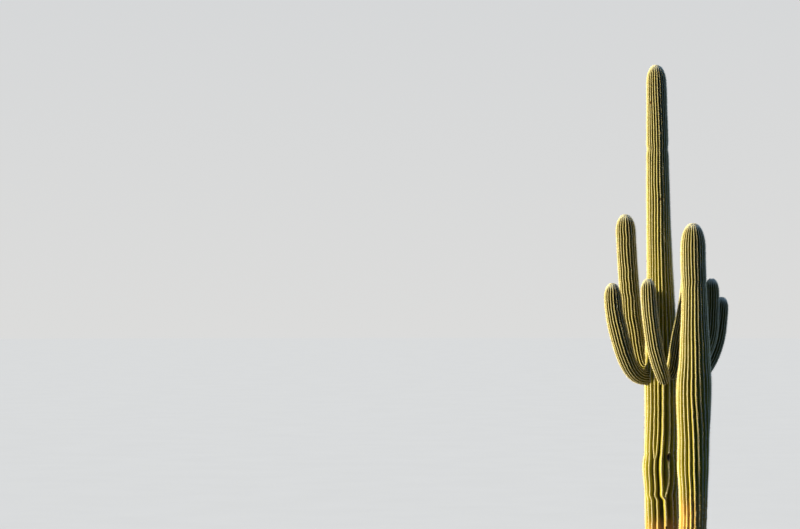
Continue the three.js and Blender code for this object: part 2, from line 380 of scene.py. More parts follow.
def wander(chance, run, spacing):
    """A smooth random curve from -1 to 1 along the run, with a new value every spacing."""
    knots = np.arange(run[0] - spacing, run[-1] + 2 * spacing, spacing)
    return smooth_through(knots, chance.uniform(-1, 1, len(knots)))(run)


def unit(vectors):
    return vectors / np.linalg.norm(vectors, axis=-1, keepdims=True)


def soft_step(share):
    """0 below 0, 1 above 1 and a gentle slope between."""
    t = np.clip(share, 0, 1)
    return t * t * (3 - 2 * t)


stem_heights, _, _, stem_radii = np.array(MAIN_STATIONS).T
print("radius of the main stem at 2 m:", round(float(smooth_through(stem_heights, stem_radii)(2.0)), 3))

# %% [markdown]
# ## From sizes to rows
# A limb becomes a stack of rows, one every centimetre and a half. Each row knows its middle, its radius,
# the direction of growth, and two sideways directions that are carried along without twisting, so that
# ribs drawn on them run true. Limbs end in long blunt domes, whose rows follow a quarter turn.

# %% Rows of the stems
ROW_STEP = 0.016
DOME_LENGTH = 1.9  # of the limb's radius
DOME_TURNS = np.linspace(0, math.pi / 2, 19)[1:-1]
DOME_POWER = 0.84  # of the cosine that narrows a dome: under 1 is blunter than an ellipse
DOME_NARROWS = np.cos(DOME_TURNS) ** DOME_POWER


def rows_of(middles, radii, tip, first_sideways, along=None):
    """The rows of one limb, with their directions and their distance along the limb."""
    every = np.vstack([middles, tip])
    run = np.concatenate([[0], np.cumsum(np.linalg.norm(np.diff(every, axis=0), axis=1))])
    if along is None:
        along = unit(np.gradient(every, run, axis=0)[:-1])
    across = np.empty_like(middles)
    sideways = np.asarray(first_sideways, float)
    for row, growth in enumerate(along):
        sideways = unit(sideways - growth * (sideways @ growth))
        across[row] = sideways
    return {
        "middles": middles, "radii": radii, "tip": np.asarray(tip, float), "run": run[:-1],
        "length": run[-1], "across": across, "other": np.cross(along, across),
    }


def stem_rows(stations, years):
    heights, axis_x, axis_y, radius = np.array(stations).T
    dome = DOME_LENGTH * radius[-1]
    foot_of_dome = heights[-1] - dome
    body = np.linspace(0, foot_of_dome, round(foot_of_dome / ROW_STEP) + 1)
    z = np.concatenate([body, foot_of_dome + dome * np.sin(DOME_TURNS)])
    narrowed = np.concatenate([np.ones(len(body)), DOME_NARROWS])
    swollen = 1 + sum(size * np.exp(-(((z - height) / spread) ** 2)) for height, size, spread in years)
    middles = np.column_stack([smooth_through(heights, axis_x)(z), smooth_through(heights, axis_y)(z), z])
    radii = smooth_through(heights, radius)(z) * swollen * narrowed
    tip = (axis_x[-1], axis_y[-1], heights[-1])
    return rows_of(middles, radii, tip, (0, -1, 0), along=np.tile([0.0, 0.0, 1.0], (len(z), 1)))


LIMBS = {
    "main_stem": stem_rows(MAIN_STATIONS, MAIN_YEARS),
    "right_stem": stem_rows(RIGHT_STATIONS, RIGHT_YEARS),
}
print({name: len(limb["run"]) for name, limb in LIMBS.items()}, "rows")

# %% [markdown]
# An arm's rows follow its two Bezier curves, and start a little inside the stem, so that the stem's skin
# hides the cut. The arm is narrow where it leaves the stem, and swells to its full width in the bend.

# %% Rows of the arms
ROOT_SINK = 0.09


def bezier(start, start_pull, end_pull, end, count=400):
    t = np.linspace(0, 1, count)[:, None]
    out, back = 3 * start_pull * t * (1 - t) ** 2, 3 * end_pull * t * t * (1 - t)
    return start * (1 - t) ** 3 + out + back + end * t**3


def lengths_along(points):
    return np.concatenate([[0], np.cumsum(np.linalg.norm(np.diff(points, axis=0), axis=1))])


def arm_rows(root, foot, rise, tip, tip_rise, pulls):
    bearing, root_height, root_radius = math.radians(root[0]), root[1], root[2]
    heights, axis_x, axis_y, stem_radius = np.array(MAIN_STATIONS).T
    outward = np.array([math.sin(bearing), -math.cos(bearing), 0])
    axis = [smooth_through(heights, line)(root_height) for line in (axis_x, axis_y)] + [root_height]
    leaves = np.array(axis) + outward * smooth_through(heights, stem_radius)(root_height)
    foot_at, tip_at = np.array(foot[:3]), np.array(tip[:3])
    up_foot, up_tip = unit(np.array(rise, float)), unit(np.array(tip_rise, float))
    elbow = bezier(leaves, leaves + outward * pulls[0], foot_at - up_foot * pulls[1], foot_at)
    upright = bezier(foot_at, foot_at + up_foot * pulls[2], tip_at - up_tip * pulls[2], tip_at)
    path = np.vstack([leaves - outward * ROOT_SINK, elbow, upright[1:]])
    elbow_length, upright_length = lengths_along(elbow)[-1], lengths_along(upright)[-1]
    length = ROOT_SINK + elbow_length + upright_length
    dome = DOME_LENGTH * tip[3]
    body = np.linspace(0, length - dome, round((length - dome) / ROW_STEP) + 1)
    run = np.concatenate([body, length - dome + dome * np.sin(DOME_TURNS)])
    in_elbow = np.clip((run - ROOT_SINK) / elbow_length, 0, 1)
    in_upright = np.clip((run - ROOT_SINK - elbow_length) / upright_length, 0, 1)
    radii = root_radius + (foot[3] - root_radius) * np.sin(in_elbow * math.pi / 2)
    radii = radii + (tip[3] - foot[3]) * in_upright
    radii[len(body):] *= DOME_NARROWS
    middles = np.column_stack([np.interp(run, lengths_along(path), path[:, k]) for k in range(3)])
    return rows_of(middles, radii, tip_at, (0, 0, 1))


for name, sizes in ARMS.items():
    LIMBS[name] = arm_rows(**sizes)
print({name: round(float(limb["length"]), 2) for name, limb in LIMBS.items()}, "metres long")

# %% [markdown]
# ## How the ribs run
# A saguaro adds ribs as it thickens: one rib forks into two. The front of the main stem shows it a little
# over a metre above the ground, where two crests meet in a point.
#
# Ribs seldom run dead straight. One rib of each limb is laid along angles that were read off the picture
# at a few heights, which brings in the slow twist and the jogs after hard years. The others follow it.
# Drawing each crest by hand would come no closer, and there are more than a hundred and fifty of them.

# %% Ribs of each limb
# The lie is where the first rib stands at a few heights, in degrees to the right of the limb's front.
# Forks are {rib: (where it parts from the next rib, how far that takes)} in metres along the limb.
# Wide is {rib: its share low down}. Higher up the ribs are even.
RIBS = {
    "main_stem": {
        "count": 24,
        "lie": [
            (0.0, 14), (0.80, 13), (1.04, 11.6), (1.11, 11.2), (1.17, 2.0), (1.26, 2.2), (1.58, 0.6),
            (1.85, 2.5), (2.10, 5.0), (2.54, 5.5), (4.10, 7.5), (4.40, 8.0), (4.82, 10.0), (5.24, 12.1),
            (5.66, 10.8), (6.08, 12.2), (6.51, 9.5), (6.79, 5.7), (7.18, 6),
        ],
        "wide": {0: 1.36, 1: 1.5, 2: 0.9, 23: 0.8},
        "forks": {
            0: (1.12, 0.34), 3: (3.1, 0.3), 5: (2.3, 0.3), 7: (3.9, 0.3), 9: (0.75, 0.3), 11: (2.9, 0.3),
            14: (3.6, 0.3), 17: (1.7, 0.3), 22: (1.68, 0.25),
        },
    },
    "right_stem": {
        "count": 25,
        "lie": [
            (0.0, -24), (0.78, -27.0), (0.99, -28.5), (1.33, -31.0), (1.75, -32.6), (2.16, -36.0),
            (2.58, -37.2), (3.00, -39.5), (3.41, -43), (4.05, -43), (4.20, -39), (4.945, -39),
        ],
        "wide": {},
        "forks": {
            6: (2.3, 0.3), 8: (2.7, 0.3), 10: (2.1, 0.3), 12: (2.95, 0.3), 14: (2.5, 0.3),
            16: (2.2, 0.3), 18: (2.8, 0.3), 20: (2.4, 0.3), 22: (1.65, 0.3),
        },
    },
    "left_outer_arm": {"count": 18, "lie": [(0, 0), (2, 0)], "wide": {}, "forks": {}},
    "left_tall_arm": {"count": 20, "lie": [(0, 0), (3, 0)], "wide": {}, "forks": {5: (0.9, 0.2)}},
    "front_arm": {"count": 17, "lie": [(0, 4), (2, 4)], "wide": {}, "forks": {}},
    "middle_right_arm": {"count": 20, "lie": [(0, 0), (3, 0)], "wide": {}, "forks": {4: (1.0, 0.2)}},
    "right_inner_arm": {"count": 18, "lie": [(0, 0), (2, 0)], "wide": {}, "forks": {}},
    "right_outer_arm": {"count": 17, "lie": [(0, 0), (3, 0)], "wide": {}, "forks": {}},
}
print("ribs above the forks:", {name: ribs["count"] for name, ribs in RIBS.items()})

# %% [markdown]
# ## Laying out the ribs
# Each rib has a share of the turn round the limb. Below its fork a rib and the next one have smaller
# shares, no groove between them, and crests so close together that they make one. Above it they part
# like a U, fast at first. Shares also wander, so no two ribs are quite alike. All rows are worked out
# together, because a loop over rows and ribs would be slow.

# %% Rib layout
JOINED = 0.9  # how far two joined crests move together, of the way to the edge between the ribs
JOINED_SHARE = 0.75  # of a rib's own share, for each of two that are joined
EVEN_FROM, EVEN_AT = 2.2, 4.2  # where wide ribs begin to narrow, and where they have done so
WAVE = {"stem": math.radians(0.35), "arm": math.radians(1.1)}  # the small waves of a crest
WAVE_SPACING = 0.06
TWIST = math.radians(0.7)
TWIST_SPACING = 0.4
UNEVEN_SHARES = ((0.06, 0.9), (0.03, 0.22))  # how much a rib's share wanders, and over what distance
RIB_SEED = 100


def lay_out_ribs(limb, count, lie, wide, forks, wave, chance):
    """Each rib's middle and half width as turns, and how far its crest leans to the next rib, by row."""
    run = limb["run"]
    joined = np.zeros((count, len(run)))
    for rib, (height, opening) in forks.items():
        joined[rib] = 1 - np.sqrt(np.sin(np.clip((run - height) / opening, 0, 1) * math.pi / 2))
    joined_before = np.roll(joined, 1, axis=0)
    shares = 1 - (joined + joined_before) * (1 - JOINED_SHARE)
    still_wide = 1 - soft_step((run - EVEN_FROM) / (EVEN_AT - EVEN_FROM))
    for rib in range(count):
        share = 1 + (wide.get(rib, 1) - 1) * still_wide
        shares[rib] *= share + sum(size * wander(chance, run, spacing) for size, spacing in UNEVEN_SHARES)
    full_turn = shares.sum(axis=0)
    middles = 2 * math.pi * (np.cumsum(shares, axis=0) - shares / 2) / full_turn
    half_widths = math.pi * shares / full_turn
    leans = JOINED * (joined - joined_before)
    heights, turns = zip(*lie)
    drift = np.radians(smooth_through(heights, turns)(run)) - middles[0] - leans[0] * half_widths[0]
    wandering = TWIST * wander(chance, run, TWIST_SPACING) + wave * wander(chance, run, WAVE_SPACING)
    middles = middles + drift + wandering
    return {"middles": middles, "half_widths": half_widths, "leans": leans, "count": full_turn}


LAYOUTS = {}
for number, (name, limb) in enumerate(LIMBS.items()):
    wave = WAVE["arm" if name in ARMS else "stem"]
    chance = np.random.default_rng(RIB_SEED + number)
    LAYOUTS[name] = lay_out_ribs(limb, **RIBS[name], wave=wave, chance=chance)
print("ribs at the foot:", {name: round(float(ribs["count"][0]), 1) for name, ribs in LAYOUTS.items()})

# %% [markdown]
# ## Cork
# Near the ground the flesh turns to cork: the ribs flatten, and the surface breaks into rough plates. How
# far that has gone is one number, 1 at the ground and 0 above the cork. The plates could be bump in the
# finish only, but the foot's outline would stay smooth, so they move the points too. A few random waves
# that close round the limb are rough enough for them.

# %% Cork and plates
CORK_TOP = {"main_stem": 1.02, "right_stem": 1.5}
PLATE_WAVES = 14
MOST_PLATES_ROUND = 30
FINEST_PLATE = 0.07


def plate_waves(chance, turns, run):
    """A rough surface, about -1 to 1, made of random waves that close round the limb."""
    total = np.zeros(np.broadcast_shapes(turns.shape, run.shape))
    for _ in range(PLATE_WAVES):
        round_the_limb = chance.integers(1, MOST_PLATES_ROUND)
        up_the_limb = chance.uniform(0.2, 1) * 2 * math.pi / FINEST_PLATE
        total += np.sin(round_the_limb * turns + up_the_limb * run + chance.uniform(0, 2 * math.pi))
    return total / math.sqrt(PLATE_WAVES)


def cork_share(name, run):
    """1 at the ground and 0 above the cork, on the two stems only."""
    top = CORK_TOP.get(name)
    return np.zeros_like(run) if top is None else 1 - soft_step(run / top)


print("cork at 0.3 m:", {name: round(float(cork_share(name, 0.3)), 2) for name in CORK_TOP})

# %% [markdown]
# ## Scars
# Birds and frost leave scars, which heal as a dark hollow in a raised brown lip. A scar could be cut with
# a boolean, but its lip would then be a hard edge. Here a bell curve raises the lip, another sinks the
# hollow, and both follow how far a point is from the scar's middle.

# %% Scars
# Height, degrees to the right of the front, half width and half height of each scar
SCARS = {
    "main_stem": [
        (1.705, 26, 0.027, 0.050), (0.728, 16, 0.015, 0.019), (6.65, -36, 0.020, 0.018),
        (5.30, 9, 0.016, 0.014), (3.20, 128, 0.030, 0.040), (2.10, -142, 0.028, 0.028),
        (5.05, 166, 0.026, 0.022), (1.30, 95, 0.020, 0.030),
    ],
    "right_stem": [(2.30, 118, 0.030, 0.036), (3.35, -150, 0.022, 0.022), (1.45, 172, 0.026, 0.034)],
}
LIP_HEIGHT = 0.20  # of the scar's half width
HOLLOW_DEPTH = 0.75
# Distances from a scar's middle, where 1 is its edge
LIP_AT = 1.15
LIP_SPREAD = 0.4
HOLLOW_SPREAD = 0.75
DARK_TO = 0.4
DARK_FADES_OVER = 1.4


def scar_relief(name, run, turns, radii):
    """How far the scars raise or sink each point, and how deep in a scar it is, from 0 to 1."""
    raised, within = np.zeros(turns.shape), np.zeros(turns.shape)
    for height, bearing, half_width, half_height in SCARS.get(name, ()):
        round_by = (turns - math.radians(bearing) + math.pi) % (2 * math.pi) - math.pi
        away = np.hypot((run[:, None] - height) / half_height, round_by * radii[:, None] / half_width)
        lip = np.exp(-(((away - LIP_AT) / LIP_SPREAD) ** 2))
        hollow = np.exp(-((away / HOLLOW_SPREAD) ** 2))
        raised += half_width * (LIP_HEIGHT * lip - HOLLOW_DEPTH * hollow)
        within = np.maximum(within, 1 - soft_step((away - DARK_TO) / DARK_FADES_OVER))
    return raised, within


print("scars:", {name: len(scars) for name, scars in SCARS.items()})

# %% [markdown]
# ## Relief of the ribs
# Seen end on, a rib is a rounded crest between two sharp valleys. The valley is a quarter deeper than
# the rib is half wide, and the crests are rounder on new growth than on old. Beside two joined crests
# the valley has a flat floor. A subdivided box or a displacement texture would blur those valleys, so
# the points of each rib are placed by the formula itself.

# %% Points of the skins
ACROSS_A_RIB = np.array([-1, -0.74, -0.48, -0.22, 0, 0.22, 0.48, 0.74])  # from valley to valley
CREST = 4  # which of those is the crest
VALLEY_DEPTH = 1.25  # of half a rib's width
CORK_FLATTENS = 0.6  # of that depth
YOUNG_ROUNDNESS = 1.9  # of a crest: 1 is a sharp ridge, 2 a round one
OLD_ROUNDNESS = 1.35
OLD_FROM_TIP = 4.5
PLATE_RELIEF = 0.005
SWELLINGS = ((0.008, 0.34), (0.005, 0.11))  # how much the radius wanders, and over what distance
UNEVEN_CREST = 0.05  # of the valley's depth
UNEVEN_SPACING = 0.16
SKIN_SEED = 200


def skin_points(name, chance):
    """The skin's points by row and column, how near each is to a crest, and how deep in a scar."""
    limb, layout = LIMBS[name], LAYOUTS[name]
    run, radii = limb["run"], limb["radii"]
    cork = cork_share(name, run)
    swell = 1 + sum(size * wander(chance, run, spacing) for size, spacing in SWELLINGS)
    depth = VALLEY_DEPTH * math.pi * radii / layout["count"] * (1 - CORK_FLATTENS * cork)
    old = soft_step((limb["length"] - run) / OLD_FROM_TIP)
    roundness = YOUNG_ROUNDNESS + (OLD_ROUNDNESS - YOUNG_ROUNDNESS) * old
    turns, reaches, nearness = [], [], []
    for middle, half_width, lean in zip(layout["middles"], layout["half_widths"], layout["leans"]):
        uneven = UNEVEN_CREST * wander(chance, run, UNEVEN_SPACING)
        for u in ACROSS_A_RIB:
            towards_edge = 1 - np.sign(u) * lean
            away = np.minimum(abs(u) * towards_edge, 1)
            fall = away**roundness
            turns.append(middle + (lean + u * towards_edge) * half_width)
            reaches.append(radii * swell - depth * fall + depth * uneven * (1 - fall))
            nearness.append(1 - away)
    turns, reaches = np.array(turns).T, np.array(reaches).T
    plates = plate_waves(chance, turns, run[:, None])
    raised, scarred = scar_relief(name, run, turns, radii)
    reaches = reaches + PLATE_RELIEF * cork[:, None] * plates + raised
    cosine, sine = np.cos(turns)[..., None], np.sin(turns)[..., None]
    sideways = limb["across"][:, None] * cosine + limb["other"][:, None] * sine
    points = limb["middles"][:, None] + sideways * reaches[..., None]
    return points, np.array(nearness).T, scarred


SKINS = {}
for number, name in enumerate(LIMBS):
    SKINS[name] = skin_points(name, np.random.default_rng(SKIN_SEED + number))
print("rows and columns:", {name: skin[0].shape[:2] for name, skin in SKINS.items()})

# %% [markdown]
# ## Patterns
# Each colour of the skin follows a number: one that the mesh carries, such as how near a crest is, or a
# noise. An image could hold the colours too, but on a plant this tall it would blur. Four helpers make
# the patterns. One reads a number from the mesh, one mixes two colours by a share, one stretches a share
# between two limits, and one makes noise, which can be squeezed in one direction.


# %% Helpers for patterns
def attribute(tree, name):
    return add_node(tree, "ShaderNodeAttribute", attribute_name=name).outputs["Fac"]


def blend(tree, share, first, second):
    """A colour between two, each a colour or the output of a node."""
    mixed = add_node(tree, "ShaderNodeMix", data_type="RGBA")
    for slot, value in (("Factor_Float", share), ("A_Color", first), ("B_Color", second)):
        socket = next(s for s in mixed.inputs if s.identifier == slot)
        if isinstance(value, bpy.types.NodeSocket):
            tree.links.new(value, socket)
        else:
            socket.default_value = value
    return next(s for s in mixed.outputs if s.identifier == "Result_Color")


def ramp(tree, share, low, high):
    """The share stretched so that low becomes 0 and high becomes 1."""
    values = [("Value", share), ("From Min", low), ("From Max", high)]
    return add_node(tree, "ShaderNodeMapRange", values, interpolation_type="SMOOTHSTEP").outputs["Result"]


def noise(tree, place, scale, detail=3.0, stretch=(1, 1, 1)):
    moved = add_node(tree, "ShaderNodeMapping", [("Vector", place), ("Scale", stretch)])
    values = [("Vector", moved.outputs["Vector"]), ("Scale", scale), ("Detail", detail)]
    return add_node(tree, "ShaderNodeTexNoise", values).outputs["Fac"]


print("pattern helpers:", [helper.__name__ for helper in (attribute, blend, ramp, noise)])

# %% [markdown]
# ## Green skin
# Living skin is waxy green. The new flesh near a tip is olive, and with age it pales to a yellow-green.
# Its crests are cream, partly from the felt line of the areoles and partly as a painted highlight where the
# crests catch the light. Its valleys are a darker green, darkened further as painted shade. Faint clouds and
# fine creases across the ribs keep it from looking painted, and the very tip is pale wool.

# %% Green skin
OLD_BY = 0.8  # of the full age
CLOUD_EDGES = (0.35, 0.7)
CLOUDS_DARKEN = 0.3
CREASE_EDGES = (0.52, 0.72)
CREASES_LIGHTEN = 0.12
# Below this share the colour darkens towards the valley colour, partly as painted shade.
VALLEY_BY = 0.5  # of the way from a valley's floor to a crest
# Above these edges the colour turns cream, partly the felt line and partly a painted highlight on the
# crests.
CREAM_EDGES = (0.70, 0.92)
WOOL = linear(240, 246, 255)


def green_skin(tree, place, creases, valley, young, old, crest):
    near_crest = attribute(tree, "crest")
    flank = blend(tree, ramp(tree, attribute(tree, "age"), 0.0, OLD_BY), young, old)
    clouds = ramp(tree, noise(tree, place, scale=2.3, detail=5), *CLOUD_EDGES)
    flank = blend(tree, clouds, flank, blend(tree, CLOUDS_DARKEN, flank, valley))
    creased = ramp(tree, creases, *CREASE_EDGES)
    flank = blend(tree, creased, flank, blend(tree, CREASES_LIGHTEN, flank, crest))
    # Towards the valleys the colour darkens: partly the plant's darker green, partly painted shade.
    green = blend(tree, ramp(tree, near_crest, 0.0, VALLEY_BY), valley, flank)
    # Near the crests it turns cream: partly the felt of the areoles, partly a painted highlight.
    green = blend(tree, ramp(tree, near_crest, *CREAM_EDGES), green, crest)
    return blend(tree, attribute(tree, "wool"), green, WOOL)


print("wool in linear numbers:", [round(part, 3) for part in WOOL])

# %% [markdown]
# ## Tan, cork and scars
# Low down the skin turns tan, and at the ground it is brown-grey cork. A level edge between the two would
# look dipped in paint, so noise is added to the cork's number before the edge is drawn, which makes it
# ragged. A scar is brown on its lip and nearly black in its hollow.

# %% Tan, cork and scars
TAN = linear(198, 156, 96)
TAN_BY = 0.24
TAN_COVERS = 0.7
CORK_DARK = linear(92, 70, 44)
CORK_LIGHT = linear(150, 122, 84)
CORK_MOTTLE_EDGES = (0.3, 0.7)
RAGGED = 0.9
CORK_EDGES = (0.96, 1.2)
SCAR_LIP = linear(128, 104, 70)
SCAR_LIP_EDGES = (0.15, 0.5)
SCAR_HOLLOW = linear(34, 26, 18)
SCAR_HOLLOW_EDGES = (0.6, 0.9)


def corked_skin(tree, place, green):
    tanned = ramp(tree, attribute(tree, "cork"), 0.0, TAN_BY)
    green = blend(tree, tanned, green, blend(tree, TAN_COVERS, green, TAN))
    mottle = ramp(tree, noise(tree, place, scale=22, detail=6), *CORK_MOTTLE_EDGES)
    ragged = add_node(tree, "ShaderNodeMath", operation="MULTIPLY_ADD")
    tree.links.new(noise(tree, place, scale=9, detail=6), ragged.inputs[0])
    ragged.inputs[1].default_value = RAGGED
    tree.links.new(attribute(tree, "cork"), ragged.inputs[2])
    corked = ramp(tree, ragged.outputs[0], *CORK_EDGES)
    return blend(tree, corked, green, blend(tree, mottle, CORK_DARK, CORK_LIGHT))


def scarred_skin(tree, skin):
    scar = attribute(tree, "scar")
    skin = blend(tree, ramp(tree, scar, *SCAR_LIP_EDGES), skin, SCAR_LIP)
    return blend(tree, ramp(tree, scar, *SCAR_HOLLOW_EDGES), skin, SCAR_HOLLOW)


print("the cork begins to show where its number and", RAGGED, "of the noise pass", CORK_EDGES[0])

# %% [markdown]
# ## The two skin finishes
# The stems' skin is older than the arms' and a little paler, so there are two finishes, made by one
# function. It joins the colours to a fine relief of creases and grain, and to a dull shine that varies
# with the grain. Relief this fine is left to bump, because it would need a point for each millimetre.

# %% Skin finishes
CREASE_STRETCH = (0.25, 0.25, 4.5)
RELIEF_STRENGTH = 0.35
RELIEF_DISTANCE = 0.004
SMOOTHEST = 0.48
ROUGHEST = 0.72
SKIN_SHINE = 0.28


def skin_finish(name, valley, young, old, crest):
    finish, tree, shader = new_finish(name)
    place = add_node(tree, "ShaderNodeTexCoord").outputs["Object"]
    creases = noise(tree, place, scale=14, stretch=CREASE_STRETCH)
    skin = green_skin(tree, place, creases, valley, young, old, crest)
    skin = scarred_skin(tree, corked_skin(tree, place, skin))
    tree.links.new(skin, shader.inputs["Base Color"])
    grain = noise(tree, place, scale=120, detail=4)
    height = add_node(tree, "ShaderNodeMath", operation="ADD")
    tree.links.new(creases, height.inputs[0])
    tree.links.new(grain, height.inputs[1])
    relief = [("Height", height.outputs[0]), ("Strength", RELIEF_STRENGTH), ("Distance", RELIEF_DISTANCE)]
    tree.links.new(add_node(tree, "ShaderNodeBump", relief).outputs["Normal"], shader.inputs["Normal"])
    limits = [("Value", grain), ("To Min", SMOOTHEST), ("To Max", ROUGHEST)]
    dullness = add_node(tree, "ShaderNodeMapRange", limits).outputs["Result"]
    tree.links.new(dullness, shader.inputs["Roughness"])
    shader.inputs["Specular IOR Level"].default_value = SKIN_SHINE
    return finish


# Each valley colour is partly painted shade, and each crest colour is partly a painted highlight.
stem_green = skin_finish(
    "stem_green",
    valley=linear(68, 63, 10),
    young=linear(100, 95, 24),
    old=linear(158, 151, 36),
    crest=linear(198, 194, 176),
)
arm_green = skin_finish(
    "arm_green",
    valley=linear(60, 56, 10),
    young=linear(95, 90, 24),
    old=linear(144, 138, 34),
    crest=linear(188, 184, 166),
)
print("nodes in each skin finish:", len(stem_green.node_tree.nodes), len(arm_green.node_tree.nodes))

# %% [markdown]
# ## Meshes from arrays
# Rows and columns of points become a mesh fastest when the arrays are handed over whole. A loop that
# adds one point at a time would take minutes for the spines. Every mesh of this plant is made by the
# next helper, and every piece rides on the plant's one body.


# %% Mesh helpers
def mesh_from(name, points, squares=(), triangles=()):
    """A mesh from arrays of points and of faces with four and three corners."""
    squares = np.asarray(squares, int).reshape(-1, 4)
    triangles = np.asarray(triangles, int).reshape(-1, 3)
    corners = np.concatenate([squares.ravel(), triangles.ravel()])
    sizes = np.concatenate([np.full(len(squares), 4), np.full(len(triangles), 3)])
    mesh = bpy.data.meshes.new(name)
    mesh.vertices.add(len(points))
    mesh.vertices.foreach_set("co", np.asarray(points, np.float32).ravel())
    mesh.loops.add(len(corners))
    mesh.loops.foreach_set("vertex_index", corners.astype(np.int32))
    mesh.polygons.add(len(sizes))
    mesh.polygons.foreach_set("loop_start", (np.cumsum(sizes) - sizes).astype(np.int32))
    mesh.update(calc_edges=True)
    return mesh


def make_piece(name, mesh, finish, smooth):
    mesh.materials.append(finish)
    mesh.polygons.foreach_set("use_smooth", np.full(len(mesh.polygons), smooth))
    piece = bpy.data.objects.new(name, mesh)
    scene.collection.objects.link(piece)
    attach(piece, "root")
    return piece


print("points in the skins:", sum(skin[0].size // 3 for skin in SKINS.values()))

# %% [markdown]
# ## Faces and map of a skin
# Each limb's rows and columns are joined by squares, and closed at the foot and the tip by fans of
# triangles. The skin gets a map too, round the limb by up the limb. Unwrapping would cut it into islands,
# and a map that follows the ribs holds their fine lines better.


# %% Faces and map
def skin_faces(rows, columns):
    """Squares between the rows, then a fan of triangles at the foot and one at the tip."""
    column = np.arange(columns)
    following = (column + 1) % columns
    low = np.arange(rows - 1)[:, None] * columns
    high = low + columns
    squares = np.stack([low + column, low + following, high + following, high + column], axis=-1)
    foot, tip, top = rows * columns, rows * columns + 1, (rows - 1) * columns
    foot_fan = np.column_stack([np.full(columns, foot), following, column])
    tip_fan = np.column_stack([np.full(columns, tip), top + column, top + following])
    return squares.reshape(-1, 4), np.vstack([foot_fan, tip_fan])


def add_map(mesh, rows, columns, up):
    """Lays the skin out flat, in the order of its faces: the turn round the limb by the way up it."""
    column = np.arange(columns)
    around = np.stack([column, column + 1, column + 1, column], axis=-1)
    around = np.broadcast_to(around, (rows - 1, columns, 4))
    height = np.stack([up[:-1], up[:-1], up[1:], up[1:]], axis=-1)[:, None]
    height = np.broadcast_to(height, (rows - 1, columns, 4))
    foot_around = np.column_stack([column + 0.5, column + 1, column])
    tip_around = np.column_stack([column + 0.5, column, column + 1])
    tip_height = np.tile([1, up[-1], up[-1]], columns)
    u = np.concatenate([around.ravel(), foot_around.ravel(), tip_around.ravel()]) / columns
    v = np.concatenate([height.ravel(), np.zeros(3 * columns), tip_height])
    layer = mesh.uv_layers.new(name="OFBake")
    layer.data.foreach_set("uv", np.column_stack([u, v]).astype(np.float32).ravel())


squares, fans = skin_faces(rows=4, columns=6)
print("four rows of six points make", len(squares), "squares and", len(fans), "triangles")

# %% [markdown]
# ## The skins
# The finishes ask how near a point is to a crest, how old its flesh is, and how much wool, cork or scar
# there is. That could be painted by hand, over months. Here every point of the mesh carries the five
# numbers, worked out with its place. Each skin then takes the place of its plain solid, or of two.

# %% Make the skins
FULL_AGE = 5.0  # metres below a tip
WOOL_REACH = 0.056


def make_skin(name):
    limb = LIMBS[name]
    points, nearness, scarred = SKINS[name]
    rows, columns = points.shape[:2]
    every = np.vstack([points.reshape(-1, 3), limb["middles"][:1], [limb["tip"]]])
    mesh = mesh_from(name + "_skin", every, *skin_faces(rows, columns))
    add_map(mesh, rows, columns, limb["run"] / limb["length"])
    to_tip = limb["length"] - limb["run"]
    cork = cork_share(name, limb["run"])
    values = {
        # How near a crest is: this sets the painted highlight on the crests and the painted shade in the
        # valleys.
        "crest": np.append(nearness.ravel(), [0, 1]),
        "age": np.append(np.repeat(np.clip(to_tip / FULL_AGE, 0, 1), columns), [1, 0]),
        "wool": np.append(np.repeat(np.exp(-((to_tip / WOOL_REACH) ** 2)), columns), [0, 1]),
        "cork": np.append(np.repeat(cork, columns), [cork[0], 0]),
        "scar": np.append(scarred.ravel(), [0, 0]),
    }
    for value_name, numbers in values.items():
        layer = mesh.attributes.new(value_name, "FLOAT", "POINT")
        layer.data.foreach_set("value", numbers.astype(np.float32))
    is_stem = name not in ARMS
    finish, slot = (stem_green, "stem_skin") if is_stem else (arm_green, "arm_skin")
    skin = make_piece(name + "_skin", mesh, finish, True)
    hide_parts(*([name] if is_stem else [name + "_elbow", name + "_upright"]))
    return len(mesh.polygons)


print("faces:", {name: make_skin(name) for name in LIMBS})

# %% [markdown]
# ## What lies inside another limb
# The arms start inside the main stem, and the two stems share a root. Nothing should grow in there. A
# boolean would find the overlap, but it takes long on skins this fine. A limb is a stack of rows, so a
# place is inside it when some row's middle is nearer than that row's radius.

# %% Places inside another limb
BURIED = 0.96  # of another limb's radius


def buried(name, places):
    """Which places are inside another limb."""
    inside = np.zeros(len(places), bool)
    for other, limb in LIMBS.items():
        if other != name:
            gaps = np.linalg.norm(places[:, None] - limb["middles"], axis=2)
            inside |= (gaps < limb["radii"] * BURIED).any(axis=1)
    return inside


for name in ARMS:
    print(name, "has", buried(name, LIMBS[name]["middles"]).sum(), "rows inside another limb")

# %% [markdown]
# ## Where the spines grow
# Spines don't come straight from the skin. They grow from areoles, felted cushions that stand one above
# another along each crest, closer together towards the tip. A particle system could scatter them, but
# it wouldn't keep them in rows. Here each crest is walked from foot to tip, and an areole is put down
# every two centimetres or so. Those that would be inside another limb are left out.

# %% Areoles
AREOLE_STEP = 0.026
AREOLE_STEP_AT_TIP = 0.017
STEP_WIDENS_OVER = 0.9
UNEVEN_STEP = 0.16  # of a step, up or down
LOST_ON_CORK = 0.8  # the share of areoles that full cork has grown over
AREOLE_SEED = 300
LEAST_LEAN = -0.5  # a rib that leans back further shares the crest of the one before it
MOST_SCARRED = 0.3
LEAST_RADIUS = 0.018  # nearer the apex the cushions would lie on each other
LOWEST_AREOLE = 0.07


